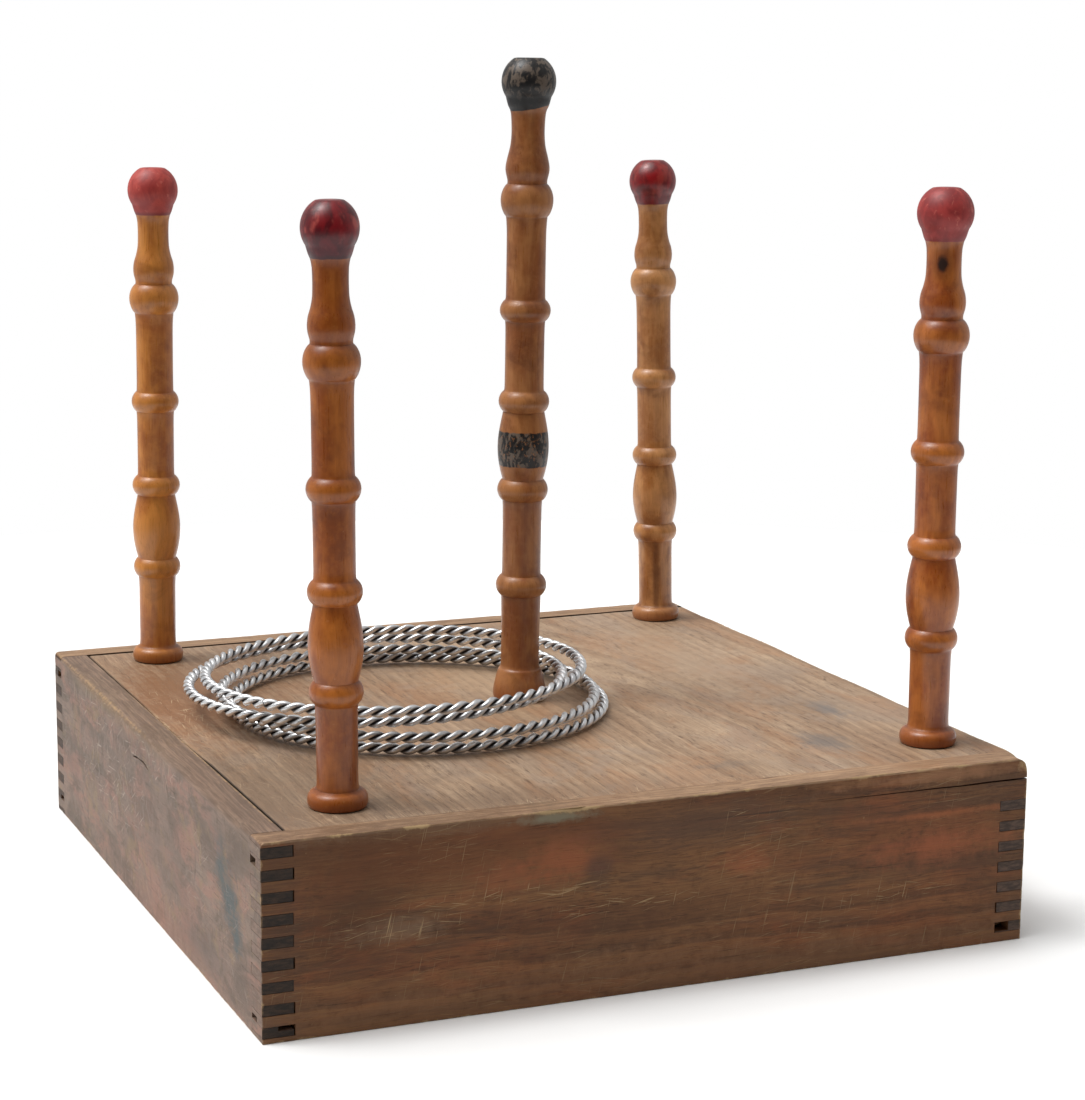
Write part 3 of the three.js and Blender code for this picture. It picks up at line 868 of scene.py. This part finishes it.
def build_lid():
    """Lid with its two tongues, wider seams at the left and back, and a socket for each peg."""
    left, right = SEAM_LEFT - INNER, HALF
    front, back = SEAM_FRONT - INNER, INNER - SEAM_BACK
    tongue = (LID_GROOVE[0] + CLEAR, LID_GROOVE[1] - CLEAR)
    cuts = []
    for side, face in ((-1, front), (1, back)):
        beyond = ordered(face, side * (TONGUE_REACH + OVER))
        cuts.append(((left - OVER, right + OVER), beyond, (LID_UNDERSIDE - OVER, tongue[0])))
        cuts.append(((left - OVER, right + OVER), beyond, (tongue[1], BOX_HEIGHT + OVER)))
    low, high = (left, -TONGUE_REACH, LID_UNDERSIDE), (right, TONGUE_REACH, BOX_HEIGHT)
    points, faces = carved_block(low, high, cuts, LID_GRID)
    top = points[:, 2] > BOX_HEIGHT - ON_FACE
    from_left = points[:, 0] - left
    from_back = np.where(points[:, 1] < back + ON_FACE, back - points[:, 1], 9)
    sunk = 0.22 + 0.12 * field(points, 0.012, 31)
    points[:, 2] -= np.where(top, np.maximum(sunk, 0.02), 0)
    points, wear = soften(points)
    ragged = 0.5 + 0.5 * field(points, 0.09, 12)
    openness = seam_openness(points[:, 1])
    lip_left = np.clip(1 - from_left / 1.5, 0, 1) * top
    lip_back = np.clip(1 - from_back / 1.2, 0, 1) * top
    points[:, 2] -= (0.75 * openness * lip_left ** 2 + 0.4 * lip_back ** 2) * (0.6 + 0.8 * ragged)
    waver = 0.35 * openness * (0.2 + field(points, 0.11, 40)) - 0.7 * (1 - openness)
    points[:, 0] += np.where(from_left < ON_FACE, waver, 0)
    # painted shade in the seams at the lid's left and back edges, strongest where the left seam stands open
    seam_shade = np.maximum(np.clip(1.15 - from_left / 1.1, 0, 1) * openness,
                       np.clip(1 - from_back, 0, 1) * 0.7)
    wear = np.maximum(wear, np.clip(1 - from_left / 2.6, 0, 1) * top * (1.1 - openness) * 0.75)
    mesh = make_mesh("lid_boards", points, faces, {"wear": wear, "seam_shade": seam_shade})
    stains = [*stains_on(2, BOX_HEIGHT, 30, 1.0, LID_STAINS),
              *stains_on(2, BOX_HEIGHT, 30, LID_LIGHT, LID_BRIGHT_STAINS),
              *stains_on(2, BOX_HEIGHT, 30, 1.0, LID_FRONT_STAINS)]
    finish = board_finish(
        "lid_wood", 1, 0, [(-104, 66, 0.16), (60, 190, 0.05), (30, -190, 0.05)], LID_WOOD,
        spacing=5.2, seed=912.0, figure=0.42, scratches=0.4, redness=0.3, roughness=0.58, dirt=0.22,
        lines=0.36, dashes=0.45, stains=stains, scuffs=in_space(2, BOX_HEIGHT, 20, LID_SCUFFS),
        drifts=((0.012, 0.03, 0.53, RUST_BROWN, 0.35), (0.014, 0.025, 0.55, ASH, 0.4)))
    piece = make_piece("lid_board", mesh, finish, "lid", "lid")
    bores = [socket_bore(stand) for stand in stands.values()]
    for bore in bores:
        cutter = piece.modifiers.new("socket", "BOOLEAN")
        cutter.operation = "DIFFERENCE"
        cutter.solver = "EXACT"
        cutter.object = bore
    shaped = bpy.data.meshes.new_from_object(piece.evaluated_get(bpy.context.evaluated_depsgraph_get()))
    piece.modifiers.clear()
    piece.data = shaped
    shaped.name = "lid_shape"
    for bore in bores:
        bpy.data.objects.remove(bore)


def circle(radius, height, turns):
    """Points round the Z axis."""
    return np.stack([radius * np.cos(turns), radius * np.sin(turns), turns * 0 + height], 1)


def socket_bore(stand, segments=40):
    turns = np.arange(segments) * 2 * math.pi / segments
    rings = [circle(SOCKET_RADIUS, z, turns) for z in (-stand.tenon - 5, 5)]
    faces = [[i, (i + 1) % segments, segments + (i + 1) % segments, segments + i] for i in range(segments)]
    faces += [list(range(segments))[::-1], list(range(segments, 2 * segments))]
    mesh = bpy.data.meshes.new("bore")
    mesh.from_pydata((np.concatenate(rings) * MM).tolist(), [], faces)
    bore = bpy.data.objects.new("bore", mesh)
    bore.matrix_world = stand.matrix()
    show(bore)
    bpy.context.view_layer.update()
    return bore


# ---- turned pegs ----------------------------------------------------------------------

def bead(z0, z1, low_neck, high_neck, full, points=13):
    """A turned bead, a little fuller than a sine and softer than a half circle."""
    out = []
    for i in range(points):
        t = -math.cos(math.pi * i / (points - 1))
        neck = low_neck + (high_neck - low_neck) * (t + 1) / 2
        out.append((neck + (full - neck) * (1 - t * t) ** 0.8, z0 + (z1 - z0) * (t + 1) / 2))
    return out


def belly(z0, z_full, z1, low_end, high_end, full, points=9):
    """A long barrel, fullest at z_full, easing into each end."""
    out = []
    for i in range(points):
        t = i / (points - 1)
        radius = low_end + (full - low_end) * math.sin(t * math.pi / 2) ** 0.9
        out.append((radius, z0 + (z_full - z0) * t))
    for i in range(1, points):
        t = i / (points - 1)
        radius = high_end + (full - high_end) * math.cos(t * math.pi / 2) ** 1.05
        out.append((radius, z_full + (z1 - z_full) * t))
    return out


def smooth_curve(knots, step=1.2):
    """Catmull-Rom curve through (radius, height) knots."""
    padded = [knots[0], *knots, knots[-1]]
    out = []
    for a, b, c, d in zip(padded, padded[1:], padded[2:], padded[3:]):
        count = max(2, int(math.hypot(c[0] - b[0], c[1] - b[1]) / step))
        for i in range(count):
            t = i / count
            out.append(tuple(
                0.5 * (2 * q + (r - p) * t + (2 * p - 5 * q + 4 * r - s) * t * t
                       + (3 * q - p - 3 * r + s) * t ** 3)
                for p, q, r, s in zip(a, b, c, d)))
    out.append(knots[-1])
    return out


def shaft_curve(radius, *knots):
    """A smooth curve whose knots are given as (how much thicker than the shaft, height)."""
    return smooth_curve([(radius + extra, z) for extra, z in knots])


def cut_ball(knots, radius, z_top, flat, points=22):
    """A ball cut off flat at the top, flowing out of the neck through `knots`."""
    centre = z_top - math.sqrt(radius ** 2 - flat ** 2)
    start = -math.acos(knots[-1][0] / radius)
    end = math.asin((z_top - centre) / radius) - 0.06
    out = []
    for i in range(1, points):
        angle = start + (end - start) * i / (points - 1)
        out.append((radius * math.cos(angle), centre + radius * math.sin(angle)))
    joint = (knots[-1][0], centre + radius * math.sin(start))
    rim = out[-1]
    out += [((rim[0] + flat) / 2 - 0.1, z_top - 0.18), (flat - 1.0, z_top), (flat * 0.5, z_top)]
    return smooth_curve([*knots[:-1], joint]) + out


def corner_outline(shaft, height, slim=1.0):
    """Corner peg; `slim` scales everything but the foot and the shaft."""
    def thick(curve):
        return [(radius * slim, z) for radius, z in curve]

    return [
        *smooth_curve([(12.1, 0), (12.6, 1.2), (12.72, 2.9), (12.4, 4.6), (11.5, 6.0), (10.2, 6.8),
                       (shaft + 0.3, 7.3)], 0.8),
        *shaft_curve(shaft, (0.1, 8.4), (-0.05, 12), (0, 26), (0.05, 38), (0.25, 42.6)),
        *thick(bead(43.4, 52.9, 9.45, 9.6, 11.75)),
        *thick(belly(53.8, 67.5, 84.6, 9.75, 9.5, 11.9)),
        *thick(bead(85.2, 95.0, 9.45, 9.3, 11.9)),
        *shaft_curve(shaft, (0.1, 95.8), (0, 99), (0.05, 122), (0.25, 127)),
        *thick(bead(127.6, 137.5, 9.4, 9.3, 11.75)),
        *shaft_curve(shaft, (0.08, 138.3), (0, 145), (0.05, 166), (0.2, 173), (0.5, 176.7)),
        *thick(bead(177.1, 191.4, 9.7, 9.1, 12.25, 19)),
        *thick(smooth_curve([(9.05, 192.2), (9.15, 193.4), (9.85, 196), (10.1, 199), (9.65, 202.5),
                             (8.85, 205), (8.2, 207.6), (7.75, 210.5), (7.6, 215), (7.62, 219),
                             (7.75, 222)])),
        *thick(cut_ball([(7.95, 223.4), (8.4, 225.4), (9.2, 227.2), (10.3, 228.8)], 12.4, height, 5.6)),
    ]


def centre_outline(shaft, height):
    return [
        *smooth_curve([(12.2, 0), (12.6, 1.6), (12.7, 3.4), (12.45, 5.8), (11.95, 8.4), (11.3, 11),
                       (10.7, 13.2), (10.2, 14.6), (shaft + 0.3, 15.2)], 0.9),
        *shaft_curve(shaft, (0, 16.6), (-0.05, 34), (0.25, 50.2)),
        *bead(50.6, 60.6, 9.45, 9.45, 12.1),
        *shaft_curve(shaft, (0.1, 61.4), (0, 66), (0, 90), (0.2, 96)),
        *bead(96.6, 106.8, 9.45, 9.7, 12.0),
        *belly(107.4, 122, 138.4, 9.8, 9.9, 12.1, 12),
        *bead(139.0, 148.8, 9.7, 9.45, 11.95),
        *shaft_curve(shaft, (0.1, 149.6), (0, 154), (0, 176), (0.2, 181.4)),
        *bead(181.9, 191.6, 9.5, 9.5, 11.95),
        *shaft_curve(shaft, (0.1, 192.4), (0, 197), (0, 220), (0.15, 226), (0.45, 230)),
        *bead(230.4, 245.6, 9.7, 9.25, 12.3, 19),
        *smooth_curve([(9.25, 246.4), (9.35, 247.6), (9.9, 249.8), (10.25, 252), (10.1, 254.4),
                       (9.5, 257.4), (8.75, 260.4), (8.1, 263.4), (7.72, 268), (7.76, 273), (7.95, 276)]),
        *cut_ball([(8.1, 277.6), (8.6, 279.6), (9.5, 281.4), (10.6, 283.0)], 12.65, height, 6.6, 24),
    ]


def hollowness(outline):
    """How far each point of the outline lies in a hollow, 0 to 1."""
    radii = np.array([p[0] for p in outline])
    heights = np.array([p[1] for p in outline])
    out = np.zeros(len(outline))
    for i, height in enumerate(heights):
        close = np.abs(heights - height) < 4.0
        out[i] = np.clip((radii[close].max() - radii[i]) / 2.4, 0, 1) * np.exp(
            -np.min(np.abs(heights[radii > radii[i] + 0.9] - height), initial=9.0) / 1.2)
    return out


def turned_mesh(name, stand, outline, segments=64):
    """Lathe of the outline with its tenon below, closed at both ends."""
    tenon = [(TENON_RADIUS - TENON_CHAMFER, -stand.tenon), (TENON_RADIUS, TENON_CHAMFER - stand.tenon),
             (TENON_RADIUS, -9.0), (TENON_RADIUS, -0.01)]
    full = tenon + outline
    turns = np.arange(segments) * 2 * math.pi / segments
    rings = [circle(radius, height, turns) for radius, height in full]
    points = np.concatenate([*rings, [[0, 0, full[0][1]]], [[0, 0, full[-1][1]]]])
    faces = []
    for level in range(len(full) - 1):
        for i in range(segments):
            j = (i + 1) % segments
            a, b = level * segments, (level + 1) * segments
            faces.append((a + i, a + j, b + j, b + i))
    bottom, top, last = len(points) - 2, len(points) - 1, (len(full) - 1) * segments
    faces += [(bottom, (i + 1) % segments, i) for i in range(segments)]
    faces += [(top, last + i, last + (i + 1) % segments) for i in range(segments)]
    hollow = np.concatenate([np.zeros(len(tenon)), hollowness(outline)])
    proud = np.clip((np.array([radius for radius, height in full]) - 9.6) / 2.4, 0, 1)
    hollow, proud = (np.concatenate([np.repeat(level, segments), [0, 0]]) for level in (hollow, proud))
    return make_mesh(name, points, faces, {"hollow": hollow, "proud": proud}, 50)


def peg_finish(name, seed, honey, edge_height, paint, gloss=0.5, band=None, knot=None, streak=None):
    """Varnished turned wood with a painted ball. `paint` holds the ball's colours and habits."""
    dark, mid, light = honey
    f = Finish(name)
    raw = f.place()
    place = f.vector("ADD", raw, (seed, seed * 0.6, seed * 2.1))
    height = f.part(raw, 2)
    bent = f.bend(place, 0.03, 4)
    pith = f.vector("MULTIPLY", f.vector("SUBTRACT", bent, (seed + 19, seed * 0.6 + 6, 0)), (1, 1, 0.02))
    ring = f.math("FRACT", f.math("DIVIDE", f.vector("LENGTH", pith), 3.1))
    late = f.times(f.rise(ring, 0.3, 0.9), f.rise(ring, 1.0, 0.93))
    fibre = f.cloud(f.stretch(bent, (1.5, 1.5, 0.05)), 1, 5, 0.65)
    hair = f.cloud(f.stretch(bent, (4.5, 4.5, 0.16)), 1, 2, 0.6)
    blotch = f.cloud(place, 0.06, 4, 0.6, 0.8)
    patch = f.cloud(f.stretch(place, (0.09, 0.09, 0.03)), 1, 3, 0.6)
    hollow = f.attribute("hollow")
    f.colour = f.mix(f.rise(f.plus(patch, f.times(f.attribute("proud"), 0.16)), 0.4, 0.66), mid, light)
    f.lay(f.times(late, 0.13), dark)
    f.tint(fibre, 0.58, 0.34, 0.17, dark)
    f.tint(hair, 0.58, 0.74, 0.15, tone(70, 34, 14))
    f.tint(blotch, 0.42, 0.74, 0.5, dark)
    f.tint(f.cloud(place, 0.28, 3, 0.6), 0.42, 0.72, 0.3, light)
    # dirt and painted shade: darker in the hollows between the beads
    f.tint(hollow, 0.15, 1.0, 0.7, tone(54, 26, 14))
    f.tint(f.plus(height, f.times(blotch, 9)), 15, 5, 0.55, tone(122, 54, 22))
    f.tint(f.cloud(place, 0.45, 4, 0.7), 0.6, 0.76, 0.2, tone(196, 148, 98))
    if knot is not None:
        core = f.plus(f.spot(raw, knot, (3.4, 3.4, 5.2)), f.times(f.cloud(place, 0.4, 3, 0.6), 0.5))
        f.tint(core, 2.3, 0.8, 0.6, tone(96, 44, 20))
        f.tint(core, 1.15, 0.65, 0.95, tone(30, 16, 12))
    if streak is not None:
        run = f.plus(f.spot(raw, streak, (2.2, 2.2, 26)), f.times(f.cloud(place, 0.4, 3, 0.6), 0.7))
        f.tint(run, 1.7, 0.7, 0.6, tone(92, 48, 26))

    painted, coat = paint_coat(f, raw, place, height, edge_height, paint)
    f.lay(painted, coat)
    if band is not None:
        mask, coat = paint_band(f, place, height, band, paint)
        f.lay(mask, coat)
        painted = f.most(painted, mask)
    wood_gloss = f.plus(f.times(fibre, 0.2), f.plus(f.times(hollow, 0.15), 0.2))
    paint_gloss = f.plus(f.times(f.cloud(place, 0.3, 3, 0.6), 0.16), paint["roughness"])
    f.set(Base_Color=f.colour, Specular_IOR_Level=gloss, Coat_Weight=paint["coat"], Coat_Roughness=0.25,
          Roughness=f.put("Mix", {"Factor": painted, "A": wood_gloss, "B": paint_gloss}, data_type="FLOAT"))
    lathe = f.cloud(f.stretch(raw, (0.03, 0.03, 2.6)), 1, 2, 0.5)
    dents = f.rise(f.cloud(place, 0.35, 2, 0.5), 0.66, 0.78)
    relief = f.plus(f.times(lathe, 0.22), f.times(fibre, 0.2))
    relief = f.plus(relief, f.plus(f.times(dents, -0.5), f.times(painted, 0.25)))
    f.bump(f.plus(relief, f.times(f.cloud(place, 0.25, 3, 0.5), 0.5)), 0.4, 0.22)
    return f.material


def worn_coat(f, place, paint):
    """Colours of an old coat of paint: base, drifts of a second shade, worn patches, dark specks."""
    drift = f.cloud(f.stretch(place, (0.16, 0.16, 0.09)), 1, 4, 0.62, 0.6)
    coat = f.mix(f.rise(drift, 0.36, 0.66), paint["deep"], paint["base"])
    scale, octaves, distortion = paint["run"]
    run = f.cloud(f.stretch(place, (scale, scale, scale * 0.6)), 1, octaves, 0.6, distortion)
    coat = f.mix(f.times(f.rise(run, *paint["worn_from"]), paint["worn_share"]), coat, paint["worn"])
    speck = f.rise(f.cloud(place, 0.9, 3, 0.6), 0.64, 0.72)
    return f.mix(f.times(speck, paint["specks"]), coat, paint["speck"])


def paint_coat(f, raw, place, height, edge_height, paint):
    """Where the ball's paint is, and its colour: painted shade makes it darker low down, and a line runs
    along its edge.
    """
    slant = f.vector("DOT_PRODUCT", raw, (*paint["slant"], 0.0))
    ragged = f.times(f.plus(f.cloud(place, 0.3, 3, 0.6), -0.5), paint["ragged"])
    level = f.plus(height, slant, ragged)
    mask = f.rise(level, edge_height - 0.25, edge_height + 0.25)
    coat = worn_coat(f, place, paint)
    # painted shade: the ball goes over to its `low` colour towards its lower part
    lower_shade = f.rise(height, edge_height + 13, edge_height + 2)
    coat = f.mix(f.times(lower_shade, paint["low_shade"]), coat, paint["low"])
    line = f.times(f.rise(level, edge_height + 2.2, edge_height + 0.6), 0.75)
    return mask, f.mix(f.times(line, paint["line"]), coat, paint["speck"])


def paint_band(f, place, height, band, paint):
    """Where the centre peg's painted band is, flaked in places, and its colour."""
    low, high = band
    ragged = f.times(f.plus(f.cloud(place, 0.35, 3, 0.6), -0.5), 1.6)
    level = f.plus(height, ragged)
    mask = f.times(f.rise(level, low - 0.3, low + 0.3), f.rise(level, high + 0.3, high - 0.3))
    flaked = f.rise(f.cloud(f.stretch(place, (0.8, 0.8, 0.5)), 1, 5, 0.7), 0.55, 0.66)
    mask = f.times(mask, f.math("SUBTRACT", 1.0, f.times(flaked, 0.75)))
    return mask, worn_coat(f, place, paint)


HONEY = tones(1.0, (91, 40, 9), (137, 67, 16), (173, 99, 36))
RED_HONEY = tones(1.0, (97, 41, 12), (144, 69, 20), (184, 107, 44))
PALE_HONEY = tones(1.0, (118, 59, 20), (169, 95, 33), (205, 133, 60))
STRAW = tones(1.0, (112, 64, 30), (167, 105, 50), (201, 142, 86))
UMBER = tones(1.0, (92, 48, 23), (141, 81, 40), (171, 113, 65))

# In each paint, `low` and the share after it are painted shade: the colour of the ball's lower part and how
# much of it shows.
RED_GLOSS = dict(
    run=(0.17, 3, 0.0),
    base=tone(128, 18, 25), deep=tone(74, 9, 18), worn=tone(188, 84, 74), worn_from=(0.5, 0.68),
    worn_share=0.6, speck=tone(52, 12, 20), specks=0.3, low=tone(72, 8, 24), low_shade=0.75,
    line=0.9, slant=(0.0, 0.0), ragged=0.7, roughness=0.26, coat=0.06)
RED_WORN = {**RED_GLOSS, "base": tone(140, 9, 14), "deep": tone(96, 6, 11), "worn": tone(190, 84, 70),
            "worn_share": 0.3, "low_shade": 0.3, "line": 0.2}
SALMON = dict(
    run=(0.4, 4, 0.4),
    base=tone(186, 68, 58), deep=tone(154, 44, 40), worn=tone(206, 108, 94), worn_from=(0.58, 0.7),
    worn_share=0.5, speck=tone(96, 34, 36), specks=0.55, low=tone(150, 58, 56), low_shade=0.35,
    line=0.8, slant=(0.0, 0.0), ragged=0.5, roughness=0.44, coat=0.06)
BRICK = {**SALMON, "base": tone(166, 52, 48), "deep": tone(132, 33, 33), "specks": 0.15, "line": 0.35,
         "low_shade": 0.3}
BLACK = dict(
    run=(0.3, 5, 0.5),
    base=tone(38, 35, 34), deep=tone(21, 20, 20), worn=tone(112, 98, 86), worn_from=(0.48, 0.58),
    worn_share=0.8, speck=tone(14, 14, 15), specks=0.4, low=tone(17, 16, 17), low_shade=0.92,
    line=0.5, slant=(-0.2, -0.05), ragged=0.9, roughness=0.28, coat=0.06)

CORNER_EDGE, CENTRE_EDGE = 225.6, 280.5
# Each peg's shaft radius, how slim the rest is, seed, wood, paint and the marks of its own.
PEG_LOOKS = {
    "peg_front_left": (8.72, 0.965, 11.0, HONEY, RED_GLOSS, {"gloss": 0.42}),
    "peg_front_right": (9.05, 1.0, 47.0, RED_HONEY, BRICK, {"knot": (-4.6, -6.2, 216)}),
    "peg_back_left": (9.1, 1.0, 83.0, PALE_HONEY, SALMON, {}),
    "peg_back_right": (9.05, 1.0, 131.0, STRAW, RED_WORN, {"streak": (-3.5, -8.4, 24)}),
    "peg_centre": (9.2, 1.0, 173.0, UMBER, BLACK, {"gloss": 0.34, "band": (113.5, 130)}),
}
TOP_GAP = 0.15


def build_pegs():
    for node, (shaft, slim, seed, honey, paint, marks) in PEG_LOOKS.items():
        stand = stands[node]
        if node == "peg_centre":
            outline, edge = centre_outline(shaft, stand.height - TOP_GAP), CENTRE_EDGE
        else:
            outline, edge = corner_outline(shaft, stand.height - TOP_GAP, slim), CORNER_EDGE
        mesh = turned_mesh(node + "_turning", stand, outline)
        finish = peg_finish(node + "_wood", seed, honey, edge, paint, **marks)
        make_piece(node + "_turned", mesh, finish, node, node, stand.matrix())


# ---- rings ----------------------------------------------------------------------------

STRAND_RADIUS = 1.325
STRAND_SIDES = 12
LAYS = 37
LAY_STEPS = 18
JOINT_GAP = 0.5
LAY_PHASE = 1.3
RING_JOINTS = {"ring_1": 1.2, "ring_2": 2.4, "ring_3": 0.4, "ring_4": -2.62}


def ring_frame(node):
    """Centre and tilt of a ring, fitted to its solid, and its radius."""
    points = solid_points(node)
    centre = points.mean(0)
    normal = np.linalg.svd(points - centre, full_matrices=False)[2][2]
    normal = normal * np.sign(normal[2])
    away = points - centre
    reach = np.linalg.norm(away - np.outer(away @ normal, normal), axis=1)
    return Matrix.Translation(Vector(centre * MM)) @ upright_turn(normal), (reach.max() + reach.min()) / 2


def rope_mesh(name, radius, joint, phase):
    """Two strands twisted round each other, bent into a ring that is open by a hair at its joint."""
    steps = LAYS * LAY_STEPS
    t = np.arange(steps + 1) / steps
    round_ring = joint + JOINT_GAP / radius / 2 + (2 * math.pi - JOINT_GAP / radius) * t
    outward = np.stack([np.cos(round_ring), np.sin(round_ring), 0 * t], 1)
    upward = np.array([0, 0, 1.0])
    points, faces, crevice = [], [], []
    for strand in (0, 1):
        start = len(points)
        twist = phase + math.pi * strand + 2 * math.pi * LAYS * t
        offset = STRAND_RADIUS * (np.cos(twist)[:, None] * outward + np.sin(twist)[:, None] * upward)
        line = radius * outward + offset
        tangent = np.gradient(line, axis=0)
        tangent /= np.linalg.norm(tangent, axis=1)[:, None]
        side = offset / STRAND_RADIUS
        side -= np.sum(side * tangent, 1)[:, None] * tangent
        side /= np.linalg.norm(side, axis=1)[:, None]
        other = np.cross(tangent, side)
        for i in range(steps + 1):
            for s in range(STRAND_SIDES):
                a = 2 * math.pi * s / STRAND_SIDES
                points.append(line[i] + STRAND_RADIUS * (math.cos(a) * side[i] + math.sin(a) * other[i]))
                crevice.append((1 - math.cos(a)) / 2)
        for i in range(steps):
            for s in range(STRAND_SIDES):
                s2 = (s + 1) % STRAND_SIDES
                row, after = start + i * STRAND_SIDES, start + (i + 1) * STRAND_SIDES
                faces.append((row + s, row + s2, after + s2, after + s))
        faces.append(tuple(start + s for s in range(STRAND_SIDES))[::-1])
        faces.append(tuple(start + steps * STRAND_SIDES + s for s in range(STRAND_SIDES)))
    return make_mesh(name, np.array(points), faces, {"crevice": crevice}, 60)


def wire_finish(name, seed):
    """Bright drawn steel, darkened down in the lay by tarnish and by painted shade, with thin brown specks.
    """
    f = Finish(name)
    place = f.vector("ADD", f.place(), (seed, seed, seed))
    fine = f.cloud(place, 1.6, 4, 0.65)
    slow = f.cloud(place, 0.05, 3, 0.6)
    deep = f.plus(f.attribute("crevice"), f.times(f.plus(fine, slow), 0.35))
    # tarnish and painted shade: each strand darker from its outer side round to where it meets the other
    # strand
    tarnish_and_shade = f.rise(deep, 0.56, 1.15)
    f.colour = f.mix(f.rise(slow, 0.35, 0.7), tone(242, 243, 244), tone(214, 215, 217))
    f.tint(fine, 0.58, 0.72, 0.45, tone(104, 92, 82))
    f.lay(f.times(tarnish_and_shade, 0.97), tone(50, 42, 41))
    f.set(Base_Color=f.colour, Metallic=f.span(tarnish_and_shade, 1.0, 0.55))
    f.set(Roughness=f.plus(f.times(tarnish_and_shade, 0.25), f.plus(f.times(fine, 0.2), 0.28)))
    f.bump(f.plus(f.times(fine, 0.5), f.times(f.cloud(place, 5, 2), 0.3)), 0.35, 0.08)
    return f.material


def build_rings():
    for number, (node, joint) in enumerate(RING_JOINTS.items()):
        placed, radius = ring_frame(node)
        mesh = rope_mesh(node + "_rope", radius, joint, LAY_PHASE * number)
        finish = wire_finish(node + "_steel", 37.0 * number)
        make_piece(node + "_twisted_wire", mesh, finish, node, node, placed)


# ---- floor ----------------------------------------------------------------------------

def build_floor(radius=0.95, segments=96):
    corners = circle(radius, 0, np.arange(segments) * 2 * math.pi / segments)
    mesh = bpy.data.meshes.new("floor")
    mesh.from_pydata(corners.tolist(), [], [list(range(segments))])
    f = Finish("floor_paper")
    paper = f.mix(f.cloud(f.place(), 0.02, 3), tone(246, 246, 245), tone(250, 250, 249))
    f.set(Base_Color=paper, Roughness=0.85)
    mesh.materials.append(f.material)
    floor = show(bpy.data.objects.new("floor", mesh))


# ---- the whole scene ------------------------------------------------------------------

bpy.context.scene.view_settings.view_transform = "Standard"
add_camera()
add_world()
add_lamp("softbox", 2.0, 56)
add_lamp("core", 1.05, 16)
build_floor()
build_walls()
build_bottom()
build_lid()
build_pegs()
build_rings()
